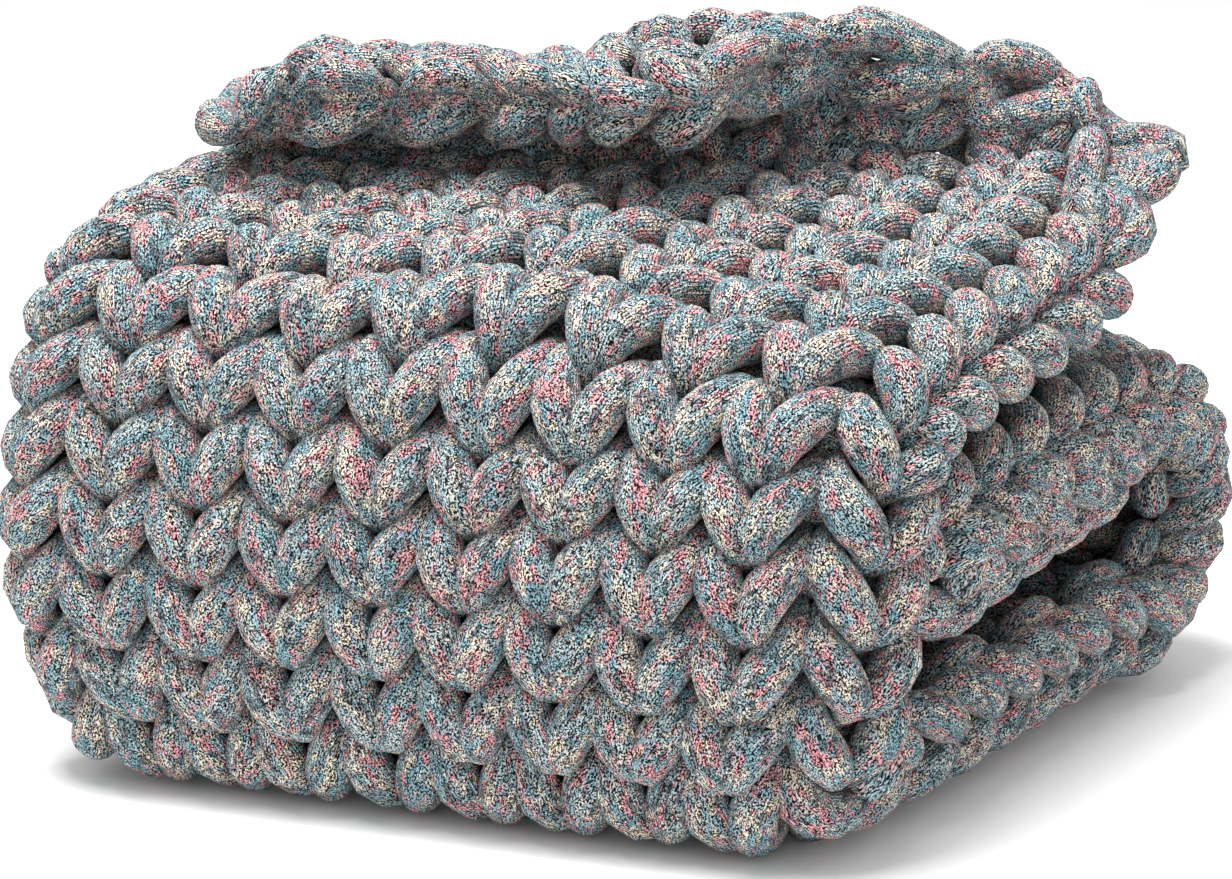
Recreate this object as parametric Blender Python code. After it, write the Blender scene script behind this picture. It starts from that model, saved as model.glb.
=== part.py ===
"""A chunky stockinette blanket, rolled up loosely with its outer end turned back over the top.

Metres, +Z up. X runs along the roll, -Y is the front and the roll rests on Z = 0.
The knitting is one thick sheet. Its side view, in Y and Z, is a chain of runs and bends that
starts from one point of the floor run: one chain goes forward, up the front, over the top and
back over itself as the flap, and the other goes back, up, forward and into the middle.
The stitches are raised in the points of the sheet's knit face, and the purl ridges in its other face.
"""

from dataclasses import dataclass
from math import cos, pi, radians, sin

import bmesh
import bpy

# Sizes of the knitting; heights are measured from the sheet's middle, the knit face being positive
WALE = 0.0530
WALES = 10
SHEET_ROWS = 42
KNIT_RIDGE = 0.0300
KNIT_MID = 0.0230
KNIT_VALLEY = 0.0170
KNIT_HOLE = 0.0110
PURL_RIDGE = -0.0290
PURL_VALLEY = -0.0210
REST_HEIGHT = 0.0285
LEG_LEAN = 0.26
COLUMNS_PER_WALE = 4

# Where the roll lies; the middle of its box is taken off, so that it stands on the origin
MIDDLE_X = 0.06125
MIDDLE_Y = 0.07594
FLOOR_START_Y = -0.109
FRONT_Y = -0.165
SKEW_LEFT = 0.12
SKEW_RIGHT = 0.28
FLOOR_EDGE_CURL = 0.016
FLOOR_EDGE_DRAW = 0.018
FLOOR_EDGE_WIDTH = 0.075
CORNER_DRAW = 0.031
CORNER_HEIGHT = 0.140
CORNER_DEPTH = 0.150
LEFT_BULGE = 0.010
LEFT_BULGE_HEIGHT = 0.330
TURNED_LENGTH = 0.375

YARN_COLOUR = (0.22, 0.33, 0.37, 1.0)
YARN_ROUGHNESS = 0.95


@dataclass(frozen=True)
class Stretch:
    """One stretch of the side view: its length, and how far it turns, upwards being positive."""

    length: float
    turn_deg: float


@dataclass(frozen=True)
class TurnBack:
    """The turned-back end on one lengthwise line of the sheet, X from its middle."""

    x: float
    top_run: float
    fold_radius: float
    fold_deg: float
    flap_run: float
    flap_deg: float
    lean: float
    front_more: float
    top_rise_deg: float


@dataclass(frozen=True)
class EdgePoint:
    """One lengthwise line of the curled selvedge: how far out, how high, how much it swells."""

    out: float
    height: float
    swell: float


def bend(radius, turn_deg):
    """A stretch that is an arc of one radius."""
    return Stretch(radius * abs(radians(turn_deg)), turn_deg)


# From the floor, forward and up; the heading starts towards -Y.
BOTTOM_FRONT = bend(0.026, -80)
FRONT = Stretch(0.172, -28)
TOP_FRONT = bend(0.068, -62)
FRONT_CHAIN = (BOTTOM_FRONT, FRONT)

# From the floor, backward and in; the heading starts towards +Y.
FLOOR = Stretch(0.315, 0)
BACK = bend(0.0855, 170)
SECOND_LAYER = Stretch(0.266, 22)
INNER_FRONT = bend(0.036, 176)
INNER_LAYER = Stretch(0.210, -4)
BACK_CHAIN = (FLOOR, BACK, SECOND_LAYER, INNER_FRONT, INNER_LAYER)

# The outer end bends over the top edge, runs back, folds and comes forward; at the right it only
# curls up. To the left the front is a little higher.
TURN_BACKS = (
    TurnBack(-0.270, 0.096, 0.0325, 178, 0.075, -8, 0.055, 0.048, -4),
    TurnBack(-0.100, 0.155, 0.0350, 180, 0.050, -10, 0.048, 0.028, -3),
    TurnBack(0.030, 0.176, 0.0450, 182, 0.105, 14, 0.002, 0.034, -5),
    TurnBack(0.120, 0.210, 0.0460, 170, 0.022, 4, -0.036, 0.008, 0),
    TurnBack(0.195, 0.258, 0.0340, 130, 0.010, 2, -0.028, 0.002, 0),
    TurnBack(0.270, 0.281, 0.0310, 95, 0.012, 2, -0.004, 0.002, 0),
)

# The outermost wale of each side is curled round towards the purl face.
CURL = (
    EdgePoint(0.015, 0.028, 0.003),
    EdgePoint(0.027, 0.020, 0.005),
    EdgePoint(0.034, 0.004, 0.006),
    EdgePoint(0.028, -0.016, 0.004),
)
PURL_CURL = 0.012


def smooth(t):
    """A step from 0 to 1 that eases in and out."""
    t = min(1.0, max(0.0, t))
    return t * t * (3 - 2 * t)


def chain_length(chain):
    return sum(stretch.length for stretch in chain)


BACK_LENGTH = chain_length(BACK_CHAIN)
FRONT_LENGTH = chain_length(FRONT_CHAIN)
END_LENGTH = TURNED_LENGTH + TOP_FRONT.length
SHEET_LENGTH = BACK_LENGTH + FRONT_LENGTH + END_LENGTH
ROW = SHEET_LENGTH / SHEET_ROWS
FLOOR_FROM = BACK_LENGTH - FLOOR.length


def turn_back(x):
    """The turned-back end at X, eased between the lines of the table."""
    after = next((line for line in TURN_BACKS if line.x > x), TURN_BACKS[-1])
    before = TURN_BACKS[max(0, TURN_BACKS.index(after) - 1)]
    share = smooth((x - before.x) / (after.x - before.x))

    def mix(name):
        first = getattr(before, name)
        return first + (getattr(after, name) - first) * share

    return TurnBack(x, mix("top_run"), mix("fold_radius"), mix("fold_deg"), mix("flap_run"),
                    mix("flap_deg"), mix("lean"), mix("front_more"), mix("top_rise_deg"))


def follow(chain, y, z, heading, distance):
    """The point and heading at a distance along a chain; beyond its end it goes straight on."""
    for stretch in chain:
        part = min(distance, stretch.length)
        turn = radians(stretch.turn_deg) * part / stretch.length
        chord = part if abs(turn) < 1e-9 else part * sin(turn / 2) / (turn / 2)
        y += chord * cos(heading + turn / 2)
        z += chord * sin(heading + turn / 2)
        heading += turn
        distance -= part
        if distance <= 0:
            return y, z, heading
    return y + distance * cos(heading), z + distance * sin(heading), heading


def middle_line(along, x):
    """The sheet's middle at a distance from its inner end: Y, Z, heading and sideways lean."""
    ahead = along - BACK_LENGTH
    if ahead < 0:
        y, z, heading = follow(BACK_CHAIN, FLOOR_START_Y, REST_HEIGHT, 0.0, -ahead)
        return y, z, heading + pi, 0.0
    if ahead <= FRONT_LENGTH:
        return *follow(FRONT_CHAIN, FLOOR_START_Y, REST_HEIGHT, pi, ahead), 0.0
    end = turn_back(x)
    rise = Stretch(end.front_more, 0)
    over = Stretch(TOP_FRONT.length, TOP_FRONT.turn_deg + end.top_rise_deg)
    run = Stretch(end.top_run, 0)
    fold = bend(end.fold_radius, end.fold_deg)
    flap = Stretch(end.flap_run, end.flap_deg)
    tail = (rise, over, run, fold, flap)
    beyond = (ahead - FRONT_LENGTH) * chain_length(tail) / END_LENGTH
    lean_from = rise.length + over.length + run.length / 2
    lean = end.lean * smooth((beyond - lean_from) / (chain_length(tail) - lean_from))
    chain = FRONT_CHAIN + tail
    return *follow(chain, FLOOR_START_Y, REST_HEIGHT, pi, FRONT_LENGTH + beyond), lean


def side_shift(x, y, z):
    """How far a point moves sideways: the front's lower corners draw in, its left side bulges."""
    half = WALES / 2 * WALE
    low = smooth(1 - z / CORNER_HEIGHT) * smooth((FRONT_Y + CORNER_DEPTH - y) / CORNER_DEPTH)
    draw = CORNER_DRAW * low * (x / half) ** 2 * (1 if x > 0 else -1)
    bulge = LEFT_BULGE * max(0.0, -x / half) * sin(pi * min(1.0, z / LEFT_BULGE_HEIGHT))
    return -draw - bulge


def place(x, along, height):
    """The point of the rolled blanket for a point of the flat one."""
    y, z, heading, lean = middle_line(along, x)
    if FLOOR_FROM < along < BACK_LENGTH:
        near_end = smooth(min(along - FLOOR_FROM, BACK_LENGTH - along) / ROW)
        past = max(0.0, abs(x) - (WALES / 2 * WALE - FLOOR_EDGE_WIDTH)) / FLOOR_EDGE_WIDTH
        height -= near_end * FLOOR_EDGE_CURL * past**2
        x -= near_end * FLOOR_EDGE_DRAW * past**2 * (1 if x > 0 else -1)
    y -= sin(heading) * height
    z += cos(heading) * height
    side = smooth(x / (WALES * WALE) + 0.5)
    skew = SKEW_LEFT + (SKEW_RIGHT - SKEW_LEFT) * side
    x += lean + skew * (y - FRONT_Y) + side_shift(x, y, z)
    return x - MIDDLE_X, y - MIDDLE_Y, z


def station_lines():
    """Distances of the crosswise lines: two for each row that shows, one for each that doesn't."""
    hidden_to = FLOOR_FROM - BACK.length
    turn_from = INNER_LAYER.length - ROW
    turn_to = INNER_LAYER.length + INNER_FRONT.length + ROW
    lines = []
    for half_row in range(2 * SHEET_ROWS + 1):
        along = half_row * ROW / 2
        inside = along < hidden_to and not turn_from < along < turn_to
        under = FLOOR_FROM + ROW < along < BACK_LENGTH - ROW
        if half_row % 2 == 0 or not (inside or under):
            lines.append((along, half_row % 2))
    return lines


def knit_point(column, along, mid_leg):
    """X, distance and height of a point of the knit face, with its legs raised."""
    columns = WALES * COLUMNS_PER_WALE
    from_edge = min(column, columns - column)
    side = -1 if column < columns / 2 else 1
    if from_edge < COLUMNS_PER_WALE:
        edge = CURL[COLUMNS_PER_WALE - 1 - from_edge]
        swell = edge.swell if mid_leg else -edge.swell
        return side * ((WALES / 2 - 1) * WALE + edge.out + swell), along, edge.height
    x = (column - columns / 2) * WALE / COLUMNS_PER_WALE
    place_in_wale = column % COLUMNS_PER_WALE
    if place_in_wale % 2 == 1:
        return x, along, KNIT_RIDGE if mid_leg else KNIT_MID
    if place_in_wale == 2:
        return x, along - LEG_LEAN * ROW, KNIT_VALLEY if mid_leg else KNIT_HOLE
    return x, along + LEG_LEAN * ROW, KNIT_VALLEY


def purl_point(column, along, mid_leg):
    """X, distance and height of a point of the purl face, with its ridges raised."""
    half = (WALES / 2 - 1) * WALE + PURL_CURL
    x = (2 * column / (WALES * COLUMNS_PER_WALE) - 1) * half
    return x, along, PURL_RIDGE if mid_leg else PURL_VALLEY


def settle(x, along, height):
    """Carries a point to the roll; what lies on the floor is flat, and the ends are square."""
    along = min(max(along, 0.0), SHEET_LENGTH)
    if FLOOR_FROM <= along <= BACK_LENGTH and height >= KNIT_HOLE:
        height = REST_HEIGHT
    return place(x, along, height)


def make_blanket():
    """A flat grid, extruded to a slab, whose points are then carried to the rolled blanket."""
    lines = station_lines()
    columns = WALES * COLUMNS_PER_WALE
    mesh = bmesh.new()
    bmesh.ops.create_grid(mesh, x_segments=columns, y_segments=len(lines) - 1, size=0.5)
    grown = bmesh.ops.extrude_face_region(mesh, geom=mesh.faces[:])
    raised = {item for item in grown["geom"] if isinstance(item, bmesh.types.BMVert)}
    for vertex in mesh.verts:
        column = round((vertex.co.x + 0.5) * columns)
        along, mid_leg = lines[round((vertex.co.y + 0.5) * (len(lines) - 1))]
        point = knit_point if vertex in raised else purl_point
        vertex.co = settle(*point(column, along, mid_leg))
    bmesh.ops.recalc_face_normals(mesh, faces=mesh.faces[:])
    if mesh.calc_volume(signed=True) < 0:
        bmesh.ops.reverse_faces(mesh, faces=mesh.faces[:])
    data = bpy.data.meshes.new("blanket")
    mesh.to_mesh(data)
    mesh.free()
    data.shade_smooth()
    return data


def yarn_material():
    """The mottled teal of the chenille yarn, as one plain colour."""
    material = bpy.data.materials.new("chenille_yarn")
    material.use_nodes = True
    shader = material.node_tree.nodes["Principled BSDF"]
    shader.inputs["Base Color"].default_value = YARN_COLOUR
    shader.inputs["Roughness"].default_value = YARN_ROUGHNESS
    shader.inputs["Metallic"].default_value = 0.0
    return material


def main():
    for old in list(bpy.data.objects):
        bpy.data.objects.remove(old)
    collection = bpy.data.collections.new("chunky_knit_blanket")
    bpy.context.scene.collection.children.link(collection)
    blanket = bpy.data.objects.new("blanket", make_blanket())
    blanket.data.materials.append(yarn_material())
    collection.objects.link(blanket)


main()
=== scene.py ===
"""A rolled-up chunky knit blanket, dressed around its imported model.

The yarn is modelled as it runs through real stockinette, row by row, on the flat blanket. Each
point of the flat blanket is then carried to the roll, whose side view has the sizes of the model.
Metres, +Z up, X along the roll, -Y the front.
"""

import logging
import math
from dataclasses import dataclass, field
from enum import Enum
from typing import Iterator, Sequence

import bpy
import numpy as np
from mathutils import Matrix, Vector, noise


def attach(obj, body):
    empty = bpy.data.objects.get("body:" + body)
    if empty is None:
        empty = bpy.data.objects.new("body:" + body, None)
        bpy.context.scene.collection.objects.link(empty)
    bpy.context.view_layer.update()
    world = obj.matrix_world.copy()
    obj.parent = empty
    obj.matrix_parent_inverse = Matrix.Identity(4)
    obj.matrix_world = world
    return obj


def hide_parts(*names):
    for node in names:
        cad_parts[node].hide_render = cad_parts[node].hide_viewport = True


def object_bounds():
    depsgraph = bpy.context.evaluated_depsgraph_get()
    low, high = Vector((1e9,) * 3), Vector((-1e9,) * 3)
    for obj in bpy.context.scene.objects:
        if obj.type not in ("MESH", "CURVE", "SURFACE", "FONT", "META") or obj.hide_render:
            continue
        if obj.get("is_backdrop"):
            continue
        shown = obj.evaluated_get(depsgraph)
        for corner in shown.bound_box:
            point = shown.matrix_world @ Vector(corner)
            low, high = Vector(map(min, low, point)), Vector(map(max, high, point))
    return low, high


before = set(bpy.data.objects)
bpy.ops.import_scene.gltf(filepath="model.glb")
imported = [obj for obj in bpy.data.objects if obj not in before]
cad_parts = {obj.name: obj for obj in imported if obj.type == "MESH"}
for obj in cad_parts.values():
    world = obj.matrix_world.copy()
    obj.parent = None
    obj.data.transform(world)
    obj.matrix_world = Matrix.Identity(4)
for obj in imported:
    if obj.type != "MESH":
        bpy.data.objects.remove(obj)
CAD_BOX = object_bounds()
LOG = logging.getLogger("blanket")

NODE = "blanket"
BODY = "root"
YARN_PLACE = "yarn_place"
TINY_TURN = 1e-9
TINY_LENGTH = 1e-12


class Stretch(Enum):
    """The stretches of the blanket that are pieces of their own, each with its first and last row."""

    INNER_TURNS = ("inner_turns", 0, 11)
    UNDERSIDE_AND_BACK = ("underside_and_back", 11, 24)
    FRONT_FACE = ("front_face", 24, 33)
    TOP_AND_TURNED_END = ("top_and_turned_end", 33, 42)


class Edge(Enum):
    """The two short edges of the knitting, with their piece's name and which way is outward."""

    CAST_ON = ("cast_on_edge", -1.0)
    BOUND_OFF = ("bound_off_edge", 1.0)


def ease(t: float) -> float:
    """A step from 0 to 1 that eases in and out."""
    t = min(1.0, max(0.0, t))
    return t * t * (3.0 - 2.0 * t)


@dataclass(frozen=True)
class Bend:
    """One stretch of the roll's side view: its length, and how far it turns upwards."""

    length: float
    turn_deg: float

    @staticmethod
    def arc(radius: float, turn_deg: float) -> "Bend":
        """A stretch that is an arc of one radius."""
        return Bend(radius * abs(math.radians(turn_deg)), turn_deg)


@dataclass(frozen=True)
class TurnBack:
    """The turned-back outer end on one lengthwise line of the blanket, X from its middle."""

    x: float
    top_run: float
    fold_radius: float
    fold_deg: float
    flap_run: float
    flap_deg: float
    lean: float
    front_more: float
    top_rise_deg: float


def side_follow(chain: Sequence[Bend], start: tuple[float, float, float],
                distance: float) -> tuple[float, float, float]:
    """Follows a chain of bends in the side view.

    Args:
        chain: The bends in order.
        start: Y, Z and heading at the chain's start.
        distance: How far to go; past the last bend the way is straight.

    Returns:
        Y, Z and heading at that distance.
    """
    y, z, heading = start
    for bend in chain:
        part = min(distance, bend.length)
        turn = math.radians(bend.turn_deg) * part / bend.length
        chord = part if abs(turn) < TINY_TURN else part * math.sin(turn / 2) / (turn / 2)
        y += chord * math.cos(heading + turn / 2)
        z += chord * math.sin(heading + turn / 2)
        heading += turn
        distance -= part
        if distance <= 0:
            return y, z, heading
    return y + distance * math.cos(heading), z + distance * math.sin(heading), heading


def run_length(chain: Sequence[Bend]) -> float:
    """The length of a chain of bends."""
    return sum(bend.length for bend in chain)


@dataclass
class RolledShape:
    """How the flat blanket lies when it is rolled up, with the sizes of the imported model."""

    rest_height: float = 0.0285
    floor_start_y: float = -0.109
    front_y: float = -0.165
    middle: tuple[float, float] = (0.06125, 0.07594)
    half_width: float = 0.265
    skew_left: float = 0.12
    skew_right: float = 0.28
    floor_edge_curl: float = 0.016
    floor_edge_draw: float = 0.018
    floor_edge_width: float = 0.075
    edge_ease: float = 0.043
    corner_draw: float = 0.031
    corner_height: float = 0.140
    corner_depth: float = 0.150
    left_bulge: float = 0.010
    left_bulge_height: float = 0.330
    turned_length: float = 0.375
    top_front: Bend = Bend.arc(0.068, -62)
    front_chain: tuple[Bend, ...] = (
        Bend.arc(0.026, -80),
        Bend(0.172, -28),
    )
    back_chain: tuple[Bend, ...] = (
        Bend(0.315, 0),
        Bend.arc(0.0855, 170),
        Bend(0.266, 22),
        Bend.arc(0.036, 176),
        Bend(0.210, -4),
    )
    turn_backs: tuple[TurnBack, ...] = (
        TurnBack(-0.270, 0.096, 0.0325, 178, 0.075, -8, 0.055, 0.048, -4),
        TurnBack(-0.100, 0.155, 0.0350, 180, 0.050, -10, 0.048, 0.028, -3),
        TurnBack(0.030, 0.176, 0.0450, 182, 0.105, 14, 0.002, 0.034, -5),
        TurnBack(0.120, 0.210, 0.0460, 170, 0.022, 4, -0.036, 0.008, 0),
        TurnBack(0.195, 0.258, 0.0340, 130, 0.010, 2, -0.028, 0.002, 0),
        TurnBack(0.270, 0.281, 0.0310, 95, 0.012, 2, -0.004, 0.002, 0),
    )
    back_length: float = field(init=False)
    front_length: float = field(init=False)
    end_length: float = field(init=False)
    length: float = field(init=False)

    def __post_init__(self) -> None:
        """Works out the lengths of the two chains and of the whole blanket."""
        self.back_length = run_length(self.back_chain)
        self.front_length = run_length(self.front_chain)
        self.end_length = self.turned_length + self.top_front.length
        self.length = self.back_length + self.front_length + self.end_length

    def turned_end(self, x: float) -> TurnBack:
        """The turned-back end at X, eased between the lines of the table."""
        lines = self.turn_backs
        after = next((i for i, line in enumerate(lines) if line.x > x), len(lines) - 1)
        low, high = lines[max(0, after - 1)], lines[after]
        share = ease((x - low.x) / (high.x - low.x)) if high is not low else 1.0

        def mix(name: str) -> float:
            """One size of the turned-back end, between the two nearest lines."""
            return getattr(low, name) + (getattr(high, name) - getattr(low, name)) * share

        return TurnBack(x, mix("top_run"), mix("fold_radius"), mix("fold_deg"),
                        mix("flap_run"), mix("flap_deg"), mix("lean"), mix("front_more"),
                        mix("top_rise_deg"))

    def middle_line(self, along: float, x: float) -> tuple[float, float, float, float]:
        """The blanket's middle at a distance from its inner end.

        Args:
            along: Distance from the inner end.
            x: Distance from the blanket's middle line.

        Returns:
            Y, Z, heading and sideways lean.
        """
        ahead = along - self.back_length
        if ahead < 0:
            start = (self.floor_start_y, self.rest_height, 0.0)
            y, z, heading = side_follow(self.back_chain, start, -ahead)
            return y, z, heading + math.pi, 0.0
        start = (self.floor_start_y, self.rest_height, math.pi)
        if ahead <= self.front_length:
            return *side_follow(self.front_chain, start, ahead), 0.0
        end = self.turned_end(x)
        over = Bend(self.top_front.length, self.top_front.turn_deg + end.top_rise_deg)
        tail = (Bend(end.front_more, 0), over, Bend(end.top_run, 0),
                Bend.arc(end.fold_radius, end.fold_deg), Bend(end.flap_run, end.flap_deg))
        whole = run_length(tail)
        beyond = (ahead - self.front_length) * whole / self.end_length
        lean_from = end.front_more + over.length + end.top_run / 2
        lean = end.lean * ease((beyond - lean_from) / (whole - lean_from))
        where = side_follow(self.front_chain + tail, start, self.front_length + beyond)
        return *where, lean

    def side_shift(self, x: float, y: float, z: float) -> float:
        """How far a point moves sideways: the front's low corners draw in, its left side bulges."""
        low = (ease(1 - z / self.corner_height)
               * ease((self.front_y + self.corner_depth - y) / self.corner_depth))
        draw = math.copysign(self.corner_draw * low * (x / self.half_width) ** 2, x)
        up = math.sin(math.pi * min(1.0, z / self.left_bulge_height))
        return -draw - self.left_bulge * max(0.0, -x / self.half_width) * up

    def carry(self, x: float, along: float, height: float) -> tuple[float, float, float]:
        """Carries a point of the flat blanket to the roll.

        Args:
            x: Distance from the middle line, to the right.
            along: Distance from the inner end.
            height: Distance from the middle of the cloth, the knit face being positive.

        Returns:
            The point in the model's own frame.
        """
        y, z, heading, lean = self.middle_line(along, x)
        floor_from = self.back_length - self.back_chain[0].length
        if floor_from < along < self.back_length:
            near_end = ease(min(along - floor_from, self.back_length - along) / self.edge_ease)
            inner = self.half_width - self.floor_edge_width
            past = max(0.0, abs(x) - inner) / self.floor_edge_width
            height -= near_end * self.floor_edge_curl * past**2
            x -= math.copysign(near_end * self.floor_edge_draw * past**2, x)
        y -= math.sin(heading) * height
        z += math.cos(heading) * height
        side = ease(x / (2 * self.half_width) + 0.5)
        skew = self.skew_left + (self.skew_right - self.skew_left) * side
        x += lean + skew * (y - self.front_y) + self.side_shift(x, y, z)
        return x - self.middle[0], y - self.middle[1], z


@dataclass(frozen=True)
class LoopForm:
    """The path of the yarn through one stitch, and its thickness there."""

    wale: float = 0.052
    reach: float = 0.0390
    waist: float = 0.0140
    waist_shift: float = 0.0004
    depth: float = 0.0162
    lag: float = 0.40
    leg_share: float = 0.60
    leg_radius: float = 0.0143
    leg_taper: float = 1.7
    head_radius: float = 0.0115
    neck_radius: float = 0.0050
    swell_thick: float = 0.5

    def thickness(self, turn: float) -> float:
        """The yarn's radius: fat in the two legs, less so in head and foot, thin where they meet."""
        off = abs(turn % math.pi - math.pi / 2)
        leg = self.leg_share * math.pi / 2
        if off < leg:
            fat, share = self.leg_radius, (off / leg) ** self.leg_taper
        else:
            fat, share = self.head_radius, ((math.pi / 2 - off) / (math.pi / 2 - leg)) ** 2
        return fat + (self.neck_radius - fat) * share

    def at(self, turn: float, swell: float = 0.0) -> tuple[float, float, float, float]:
        """A point of the loop.

        Args:
            turn: The place on the loop, from 0 at one foot to 2 pi at the other.
            swell: How much longer and fatter this loop is than usual, as a share.

        Returns:
            Across, along and height from the stitch's own corner, and the yarn's radius.
        """
        crown = math.sin(turn / 2) ** 2
        across = (self.wale * turn / (2 * math.pi) + self.waist * math.sin(2 * turn)
                  + self.waist_shift * (math.sin(turn) + math.sin(3 * turn)))
        along = -self.reach * (1 + swell * crown) * math.cos(turn)
        height = -self.depth * math.cos(2 * turn + self.lag * math.sin(turn))
        return across, along, height, self.thickness(turn) * (1 + self.swell_thick * swell * crown)


@dataclass
class YarnRun:
    """A stretch of yarn: its middle line in the roll, its radii, and how far along it each point is."""

    points: list[tuple[float, float, float]] = field(default_factory=list)
    radii: list[float] = field(default_factory=list)

    def add(self, point: tuple[float, float, float], radius: float) -> None:
        """Adds one point of the middle line."""
        self.points.append(point)
        self.radii.append(radius)


@dataclass
class TubeMaker:
    """Turns runs of yarn into one mesh of closed tubes."""

    sides: int = 16
    lump: float = 0.05
    lump_scale: float = 55.0
    floor_gap: float = 0.0004
    run_gap: float = 1.0
    nearly_upright: float = 0.1

    def frames(self, line: np.ndarray) -> tuple[np.ndarray, np.ndarray]:
        """Two directions across the line at each of its points, turning as little as they can."""
        ahead = np.gradient(line, axis=0)
        ahead /= np.linalg.norm(ahead, axis=1)[:, None] + TINY_LENGTH
        first = np.zeros_like(line)
        seed = np.cross(ahead[0], (0.0, 0.0, 1.0))
        if np.linalg.norm(seed) < self.nearly_upright:
            seed = np.cross(ahead[0], (0.0, 1.0, 0.0))
        first[0] = seed / np.linalg.norm(seed)
        for i in range(1, len(line)):
            side = first[i - 1] - ahead[i] * (first[i - 1] @ ahead[i])
            first[i] = side / (np.linalg.norm(side) + TINY_LENGTH)
        return first, np.cross(ahead, first)

    def rings(self, run: YarnRun, start: float) -> tuple[np.ndarray, np.ndarray]:
        """The tube's points ring by ring, and each point's place on the straight yarn.

        Args:
            run: The stretch of yarn.
            start: How far along the whole yarn the stretch begins.

        Returns:
            Points, and places as distance along and the two distances across, both (rings, sides, 3).
        """
        line = np.array(run.points)
        radii = np.array(run.radii)
        first, second = self.frames(line)
        step = np.linalg.norm(np.diff(line, axis=0), axis=1)
        along = start + np.concatenate([[0.0], np.cumsum(step)])
        angle = np.arange(self.sides) * 2 * math.pi / self.sides
        cos, sin = np.cos(angle), np.sin(angle)
        place = np.empty((len(line), self.sides, 3))
        place[:, :, 0] = along[:, None]
        place[:, :, 1] = radii[:, None] * cos
        place[:, :, 2] = radii[:, None] * sin
        lumps = np.array([[noise.noise(Vector(p) * self.lump_scale) for p in ring] for ring in place])
        radial = radii[:, None] * (1 + self.lump * lumps)
        out = first[:, None, :] * cos[None, :, None] + second[:, None, :] * sin[None, :, None]
        points = line[:, None, :] + out * radial[:, :, None]
        points[:, :, 2] = np.maximum(points[:, :, 2], self.floor_gap)
        return points, place

    def mesh(self, name: str, runs: Sequence[YarnRun]) -> bpy.types.Mesh:
        """One mesh of all the runs, each a closed tube, with the yarn's own coordinates stored."""
        verts, places, faces = [], [], []
        base, start = 0, 0.0
        for run in runs:
            points, place = self.rings(run, start)
            start = float(place[-1, 0, 0]) + self.run_gap
            count = len(points)
            verts.append(points.reshape(-1, 3))
            places.append(place.reshape(-1, 3))
            ring, side = np.meshgrid(np.arange(count - 1), np.arange(self.sides), indexing="ij")
            after = (side + 1) % self.sides
            low, high = base + ring * self.sides, base + (ring + 1) * self.sides
            quads = np.stack([low + side, low + after, high + after, high + side], -1)
            faces.extend(quads.reshape(-1, 4).tolist())
            faces.append([base + i for i in reversed(range(self.sides))])
            faces.append([base + (count - 1) * self.sides + i for i in range(self.sides)])
            base += count * self.sides
        data = bpy.data.meshes.new(name)
        data.from_pydata(np.concatenate(verts).tolist(), [], faces)
        layer = data.attributes.new(YARN_PLACE, "FLOAT_VECTOR", "POINT")
        layer.data.foreach_set("vector", np.concatenate(places).astype(np.float32).ravel())
        data.shade_smooth()
        data.update()
        return data


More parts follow.
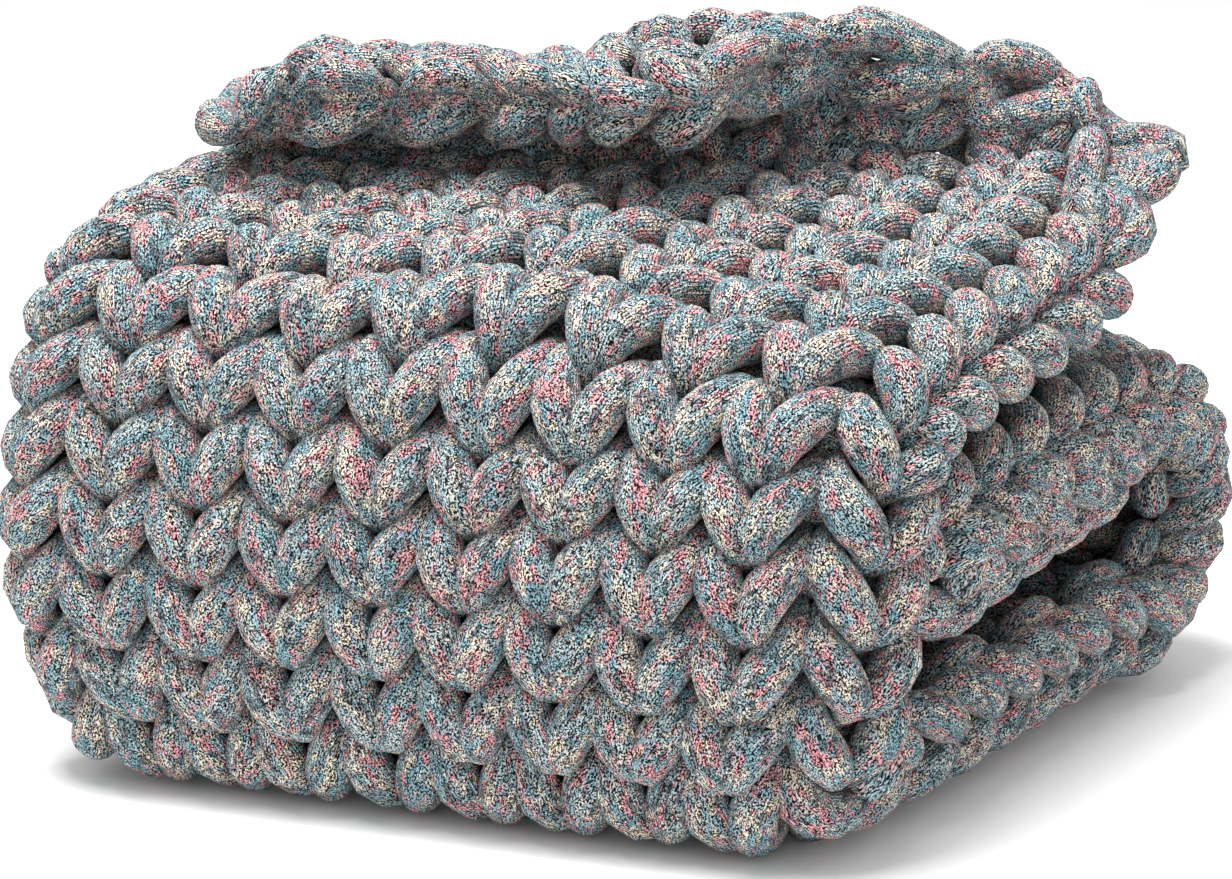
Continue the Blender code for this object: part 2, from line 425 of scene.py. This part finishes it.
@dataclass
class Knitting:
    """The rows of stockinette, knitted to and fro in one yarn."""

    shape: RolledShape
    tubes: TubeMaker
    loop: LoopForm = LoopForm()
    wales: int = 10
    rows: int = 42
    start_margin: float = 0.018
    end_margin: float = 0.024
    steps: int = 32
    turn_steps: int = 10
    turn_bulge: float = 0.011
    turn_lift: float = 0.6
    curl_from_left: float = 0.207
    curl_from_right: float = 0.198
    curl_back: float = 1.6
    curl_back_from: float = 0.18
    curl_back_over: float = 0.09
    curl_radius: float = 0.033
    edge_links: int = 9
    edge_pitch: float = 0.047
    edge_shift: float = 0.002
    edge_margin: float = 0.033
    edge_opening: int = 2
    edge_form: LoopForm = LoopForm(wale=0.044, reach=0.036, waist=0.0134, waist_shift=0.0)
    drift: float = 0.0035
    drift_scale: float = 13.0
    drift_height: float = 0.5
    swell: float = 0.06
    seed: int = 7

    def __post_init__(self) -> None:
        """Works out the rows' pitch and each stitch's own swell, and seeds the drift."""
        self.pitch = (self.shape.length - self.start_margin - self.end_margin) / self.rows
        noise.seed_set(self.seed)
        generator = np.random.default_rng(self.seed)
        self.swells = generator.uniform(-self.swell, self.swell, (self.rows, self.wales))

    def settle(self, x: float, along: float, height: float) -> tuple[float, float, float]:
        """Lets a flat point drift a little, curls the selvedge, and carries it to the roll."""
        spot = Vector((x, along, height)) * self.drift_scale
        drift = noise.noise_vector(spot) * self.drift
        x, along, height = x + drift.x, along + drift.y, height + self.drift_height * drift.z
        curl_from = self.curl_from_right if x > 0 else self.curl_from_left
        if abs(x) > curl_from:
            angle = (abs(x) - curl_from) / self.curl_radius
            out = curl_from + (self.curl_radius + height) * math.sin(angle)
            turned = (along - self.shape.length + self.curl_back_from) / self.curl_back_over
            share = 1 - self.curl_back * ease(turned)
            height = height * math.cos(angle) - share * self.curl_radius * (1 - math.cos(angle))
            x = math.copysign(out, x)
        return self.shape.carry(x, along, height)

    def row(self, index: int) -> Iterator[tuple[float, float, float, float]]:
        """The flat points of one row, from left to right, each with the yarn's radius."""
        along = self.start_margin + (index + 0.5) * self.pitch
        left = -self.wales * self.loop.wale / 2
        for wale in range(self.wales):
            for step in range(self.steps):
                turn = 2 * math.pi * step / self.steps
                across, ahead, height, thick = self.loop.at(turn, self.swells[index, wale])
                yield left + wale * self.loop.wale + across, along + ahead, height, thick
        across, ahead, height, thick = self.loop.at(0.0)
        yield -left + across, along + ahead, height, thick

    def selvedge_turn(self, index: int, side: float) -> Iterator[tuple[float, float, float, float]]:
        """The flat points where the yarn turns from one row up to the next at a selvedge."""
        edge = side * self.wales * self.loop.wale / 2
        across, ahead, height, thick = self.loop.at(0.0)
        along = self.start_margin + (index + 0.5) * self.pitch + ahead
        for step in range(1, self.turn_steps):
            share = step / self.turn_steps
            out = math.sin(math.pi * share)
            rise = (1 - math.cos(math.pi * share)) / 2
            lift = height + self.turn_lift * self.loop.depth * out
            yield edge + side * self.turn_bulge * out, along + self.pitch * rise, lift, thick

    def run(self, first: int, last: int) -> YarnRun:
        """The yarn of the rows from first up to last, knitted to and fro."""
        yarn = YarnRun()
        for index in range(first, last):
            points = list(self.row(index))
            side = 1.0
            if index % 2:
                points.reverse()
                side = -1.0
            if index < last - 1:
                points.extend(self.selvedge_turn(index, side))
            for x, along, height, thick in points:
                yarn.add(self.settle(x, along, height), thick)
        return yarn

    def build(self, stretch: Stretch) -> bpy.types.Object:
        """Makes the mesh object of one stretch of the blanket."""
        name, first, last = stretch.value
        return new_object(name, self.tubes.mesh(name, [self.run(first, last)]))

    def build_edge(self, edge: Edge) -> bpy.types.Object:
        """Makes the chain of loops that closes one short edge."""
        name, outward = edge.value
        form = self.edge_form
        middle = self.shape.length - self.edge_margin if outward > 0 else self.edge_margin
        runs = []
        for link in range(self.edge_links):
            yarn = YarnRun()
            centre = (link + 0.5 - self.edge_links / 2) * self.edge_pitch + self.edge_shift
            for step in range(self.edge_opening, self.steps - self.edge_opening + 1):
                across, ahead, height, thick = form.at(2 * math.pi * step / self.steps)
                point = (centre - ahead, middle + outward * height, across - form.wale / 2)
                yarn.add(self.settle(*point), thick)
            runs.append(yarn)
        return new_object(name, self.tubes.mesh(name, runs))


def new_object(name: str, data: bpy.types.Mesh) -> bpy.types.Object:
    """A new object with that mesh, linked to the scene."""
    thing = bpy.data.objects.new(name, data)
    bpy.context.scene.collection.objects.link(thing)
    return thing


class Signal:
    """A shader socket that can be used in Python expressions."""

    def __init__(self, desk: "ShaderDesk", socket: bpy.types.NodeSocket) -> None:
        """Wraps a socket of a node tree."""
        self.desk = desk
        self.socket = socket

    def _math(self, operation: str, first: object, second: object) -> "Signal":
        """Adds a Math node for two values."""
        return self.desk.node("ShaderNodeMath", {"operation": operation}, {0: first, 1: second})

    def __add__(self, other: object) -> "Signal":
        """The sum of two values."""
        return self._math("ADD", self, other)

    def __radd__(self, other: object) -> "Signal":
        """The sum of two values."""
        return self._math("ADD", other, self)

    def __sub__(self, other: object) -> "Signal":
        """The difference of two values."""
        return self._math("SUBTRACT", self, other)

    def __rsub__(self, other: object) -> "Signal":
        """The difference of two values."""
        return self._math("SUBTRACT", other, self)

    def __mul__(self, other: object) -> "Signal":
        """The product of two values."""
        return self._math("MULTIPLY", self, other)

    def __rmul__(self, other: object) -> "Signal":
        """The product of two values."""
        return self._math("MULTIPLY", other, self)


class ShaderDesk:
    """One material's node tree, with the few moves that the finishes need."""

    def __init__(self, name: str) -> None:
        """Starts an empty material with a Principled shader and its output."""
        self.material = bpy.data.materials.new(name)
        self.material.use_nodes = True
        self.tree = self.material.node_tree
        self.shader = self.tree.nodes["Principled BSDF"]

    def node(self, kind: str, settings: dict[str, object], sockets: dict[object, object],
             output: object = 0) -> Signal:
        """Adds any node.

        Args:
            kind: The node's type name.
            settings: Properties that are set first.
            sockets: Input names or numbers with their values or Signals.
            output: The name or number of the output that is wanted.

        Returns:
            The wanted output as a Signal.
        """
        made = self.tree.nodes.new(kind)
        for key, value in settings.items():
            setattr(made, key, value)
        for key, value in sockets.items():
            self.plug(made.inputs[key], value)
        return Signal(self, made.outputs[output])

    def plug(self, socket: bpy.types.NodeSocket, value: object) -> None:
        """Feeds a socket with a Signal, a number or a tuple."""
        if isinstance(value, Signal):
            self.tree.links.new(value.socket, socket)
        elif socket.type == "RGBA" and len(value) == 3:
            socket.default_value = (*value, 1.0)
        else:
            socket.default_value = value

    def stretch(self, vector: Signal, scale: tuple, shift: tuple = (0.0, 0.0, 0.0)) -> Signal:
        """A vector multiplied by a scale and moved."""
        scaled = self.node("ShaderNodeVectorMath", {"operation": "MULTIPLY"}, {0: vector, 1: scale})
        return self.node("ShaderNodeVectorMath", {"operation": "ADD"}, {0: scaled, 1: shift})

    def cloud(self, vector: Signal, detail: float = 2.0, rough: float = 0.5) -> Signal:
        """Noise from 0 to 1 at a vector."""
        return self.node("ShaderNodeTexNoise", {"noise_dimensions": "3D"},
                         {"Vector": vector, "Scale": 1.0, "Detail": detail, "Roughness": rough})

    def wave(self, turn: Signal) -> Signal:
        """A sine of the turn, lifted to run from 0 to 1."""
        return self.node("ShaderNodeMath", {"operation": "SINE"}, {0: turn}) * 0.5 + 0.5

    def step(self, value: Signal, low: float, high: float) -> Signal:
        """A smooth step from 0 at low to 1 at high."""
        return self.node("ShaderNodeMapRange", {"interpolation_type": "SMOOTHSTEP"},
                         {"Value": value, "From Min": low, "From Max": high})

    def blend(self, share: object, first: object, second: object, how: str = "MIX") -> Signal:
        """Mixes two colours."""
        return self.node("ShaderNodeMix", {"data_type": "RGBA", "blend_type": how},
                         {"Factor": share, 6: first, 7: second}, output=2)


@dataclass(frozen=True)
class Fleck:
    """One colour of fleck: its own place in the noise, where it begins and is full, and its share."""

    colour: tuple[float, float, float]
    shift: float
    low: float
    high: float
    share: float


@dataclass(frozen=True)
class ChenilleYarn:
    """Mottled chenille: teal pile with rose, cream and slate flecks, knitted into a soft tube.

    Scales are per metre, along the yarn and the two ways across it.
    """

    teal: tuple[float, float, float] = (0.125, 0.215, 0.245)
    grey_teal: tuple[float, float, float] = (0.24, 0.30, 0.31)
    tone_scale: tuple[float, float, float] = (60.0, 110.0, 110.0)
    tone_shift: tuple[float, float, float] = (3.0, 1.0, 0.0)
    tone_low: float = 0.42
    tone_high: float = 0.60
    flecks: tuple[Fleck, ...] = (
        Fleck((0.40, 0.18, 0.19), 11.0, 0.48, 0.62, 1.0),
        Fleck((0.42, 0.37, 0.30), 23.0, 0.49, 0.63, 1.0),
        Fleck((0.055, 0.070, 0.080), 37.0, 0.52, 0.64, 0.8),
    )
    streak_scale: tuple[float, float, float] = (80.0, 125.0, 125.0)
    spot_scale: tuple[float, float, float] = (190.0, 240.0, 240.0)
    streak_share: float = 0.50
    ribs: int = 38
    wander_scale: tuple[float, float, float] = (70.0, 70.0, 70.0)
    wander_turn: float = 2.4
    stitch_length: float = 0.0026
    bead_slant: float = 0.5
    grain_scale: tuple[float, float, float] = (1150.0, 1150.0, 1150.0)
    grain_low: float = 0.44
    grain_high: float = 0.58
    grain_light: float = 2.42
    grain_dark: float = 0.01
    # How much the rib and stitch waves darken the colour in their grooves, which is painted shade, and
    # the share left plain.
    painted_groove_shade: tuple[float, float, float] = (0.28, 0.14, 0.68)
    weave_relief: tuple[float, float, float] = (0.55, 0.25, 0.6)
    roughness: float = 0.95
    gloss: float = 0.15
    sheen: float = 0.10
    sheen_roughness: float = 0.45
    sheen_tint: tuple[float, float, float, float] = (0.85, 0.92, 0.95, 1.0)
    bump: float = 0.0011

    def weave(self, desk: ShaderDesk, place: Signal) -> tuple[Signal, Signal]:
        """The lengthwise ribs of the knitted tube and the small stitches that make them.

        Args:
            desk: The material's node tree.
            place: The place on the straight yarn.

        Returns:
            Two waves from 0 to 1, the ribs and the stitches along them.
        """
        parts = desk.node("ShaderNodeSeparateXYZ", {}, {0: place}).socket.node
        along, across, up = (Signal(desk, parts.outputs[i]) for i in range(3))
        angle = desk.node("ShaderNodeMath", {"operation": "ARCTAN2"}, {0: up, 1: across})
        wander = desk.cloud(desk.stretch(place, self.wander_scale), 1.0)
        rib_turn = angle * float(self.ribs) + wander * self.wander_turn
        bead_turn = along * (2 * math.pi / self.stitch_length) + rib_turn * self.bead_slant
        return desk.wave(rib_turn), desk.wave(bead_turn)

    def fleck_mask(self, desk: ShaderDesk, place: Signal, fleck: Fleck) -> Signal:
        """A mask of flecks that run along the yarn and break up into short spots."""
        streak = desk.cloud(desk.stretch(place, self.streak_scale, (fleck.shift, 0.0, 0.0)), 1.0)
        spot = desk.cloud(desk.stretch(place, self.spot_scale, (0.0, fleck.shift, 0.0)), 1.0)
        patches = streak * self.streak_share + spot * (1 - self.streak_share)
        return desk.step(patches, fleck.low, fleck.high) * fleck.share

    def pile(self, desk: ShaderDesk, place: Signal) -> Signal:
        """The pile's colour, with its flecks laid over the teal."""
        tone = desk.cloud(desk.stretch(place, self.tone_scale, self.tone_shift), 2.0)
        colour = desk.blend(desk.step(tone, self.tone_low, self.tone_high), self.teal, self.grey_teal)
        for fleck in self.flecks:
            colour = desk.blend(self.fleck_mask(desk, place, fleck), colour, fleck.colour)
        return colour

    def build(self) -> bpy.types.Material:
        """Makes the yarn's material, with shade painted into the grooves of its ribs and stitches."""
        desk = ShaderDesk("chenille_yarn_finish")
        place = desk.node("ShaderNodeAttribute", {"attribute_type": "GEOMETRY",
                                                  "attribute_name": YARN_PLACE}, {}, "Vector")
        ribs, beads = self.weave(desk, place)
        grain = desk.cloud(desk.stretch(place, self.grain_scale), 1.0, 0.6)
        speck = desk.step(grain, self.grain_low, self.grain_high) * self.grain_light + self.grain_dark
        # Painted shade: the colour is darker in the grooves between the ribs and between the stitches,
        # where the bump sinks. The grain specks lighten and darken it at random, darkest where the
        # grain sinks the bump.
        rib_painted_shade, bead_painted_shade, plain_light = self.painted_groove_shade
        light = (ribs * rib_painted_shade + beads * bead_painted_shade + plain_light) * speck
        shade = desk.node("ShaderNodeCombineXYZ", {}, {0: light, 1: light, 2: light})
        rib_height, bead_height, grain_height = self.weave_relief
        relief = ribs * rib_height + beads * bead_height + grain * grain_height
        normal = desk.node("ShaderNodeBump", {}, {"Strength": 1.0, "Distance": self.bump,
                                                  "Height": relief})
        desk.plug(desk.shader.inputs["Base Color"],
                  desk.blend(1.0, self.pile(desk, place), shade, "MULTIPLY"))
        desk.plug(desk.shader.inputs["Normal"], normal)
        desk.shader.inputs["Roughness"].default_value = self.roughness
        desk.shader.inputs["Specular IOR Level"].default_value = self.gloss
        desk.shader.inputs["Sheen Weight"].default_value = self.sheen
        desk.shader.inputs["Sheen Roughness"].default_value = self.sheen_roughness
        desk.shader.inputs["Sheen Tint"].default_value = self.sheen_tint
        return desk.material


@dataclass(frozen=True)
class StudioFloor:
    """The matt white floor of the studio."""

    colour: tuple[float, float, float] = (0.97, 0.97, 0.97)
    roughness: float = 0.9
    gloss: float = 0.1

    def build(self) -> bpy.types.Material:
        """Makes the floor's material."""
        desk = ShaderDesk("studio_floor_finish")
        desk.plug(desk.shader.inputs["Base Color"], self.colour)
        desk.shader.inputs["Roughness"].default_value = self.roughness
        desk.shader.inputs["Specular IOR Level"].default_value = self.gloss
        return desk.material


@dataclass
class Studio:
    """The floor, the lights and the camera at the photograph's angle."""

    azimuth_deg: float = 18.7
    elevation_deg: float = 16.0
    distance: float = 1.972
    lens_mm: float = 100.0
    target: tuple[float, float, float] = (0.0025, -0.0759, 0.1938)
    sensor_mm: float = 36.0
    clip_start: float = 0.05
    floor_size: float = 30.0
    world_light: float = 0.80
    key_place: tuple[float, float, float] = (-0.3, -0.3, 2.4)
    key_aim: tuple[float, float, float] = (0.0, 0.0, 0.2)
    key_size: float = 1.3
    key_power: float = 95.0

    def camera(self) -> None:
        """Places the camera and makes it the scene's own."""
        turn, rise = math.radians(self.azimuth_deg), math.radians(self.elevation_deg)
        back = Vector((math.sin(turn) * math.cos(rise), -math.cos(turn) * math.cos(rise),
                       math.sin(rise)))
        data = bpy.data.cameras.new("camera")
        data.lens = self.lens_mm
        data.sensor_width = self.sensor_mm
        data.clip_start = self.clip_start
        camera = bpy.data.objects.new("camera", data)
        camera.location = Vector(self.target) + back * self.distance
        camera.rotation_euler = back.to_track_quat("Z", "Y").to_euler()
        bpy.context.scene.collection.objects.link(camera)
        bpy.context.scene.camera = camera

    def key_light(self) -> None:
        """Adds the one square soft light, above the blanket and a little in front."""
        data = bpy.data.lights.new("key", "AREA")
        data.size = self.key_size
        data.energy = self.key_power
        lamp = bpy.data.objects.new("key", data)
        lamp.location = self.key_place
        away = Vector(self.key_place) - Vector(self.key_aim)
        lamp.rotation_euler = away.to_track_quat("Z", "Y").to_euler()
        bpy.context.scene.collection.objects.link(lamp)

    def world(self) -> None:
        """Fills the room with even white light."""
        world = bpy.data.worlds.new("studio")
        world.use_nodes = True
        background = world.node_tree.nodes["Background"]
        background.inputs["Color"].default_value = (1.0, 1.0, 1.0, 1.0)
        background.inputs["Strength"].default_value = self.world_light
        bpy.context.scene.world = world

    def build(self) -> None:
        """Sets up the whole studio."""
        half = self.floor_size / 2
        corners = [(-half, -half, 0.0), (half, -half, 0.0), (half, half, 0.0), (-half, half, 0.0)]
        data = bpy.data.meshes.new("studio_floor")
        data.from_pydata(corners, [], [(0, 1, 2, 3)])
        floor = new_object("studio_floor", data)
        floor.data.materials.append(StudioFloor().build())
        floor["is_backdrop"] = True
        self.camera()
        self.world()
        self.key_light()
        bpy.context.scene.view_settings.view_transform = "Standard"


def dress(piece: bpy.types.Object, finish: bpy.types.Material) -> None:
    """Gives a piece of the blanket its finish and tells the frame what it is."""
    piece.data.materials.append(finish)
    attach(piece, BODY)
    LOG.info("%s has %d faces", piece.name, len(piece.data.polygons))


def main() -> None:
    """Builds the studio and the blanket, piece by piece."""
    logging.basicConfig(level=logging.INFO)
    Studio().build()
    finish = ChenilleYarn().build()
    knitting = Knitting(shape=RolledShape(), tubes=TubeMaker())
    pieces = {stretch: knitting.build(stretch) for stretch in Stretch}
    pieces |= {edge: knitting.build_edge(edge) for edge in Edge}
    for piece in pieces.values():
        dress(piece, finish)
    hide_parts(NODE)
    boxes = {"cad": CAD_BOX, "visual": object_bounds()}
    {name: [list(corner) for corner in box] for name, box in boxes.items()}


if __name__ == "__main__":
    main()
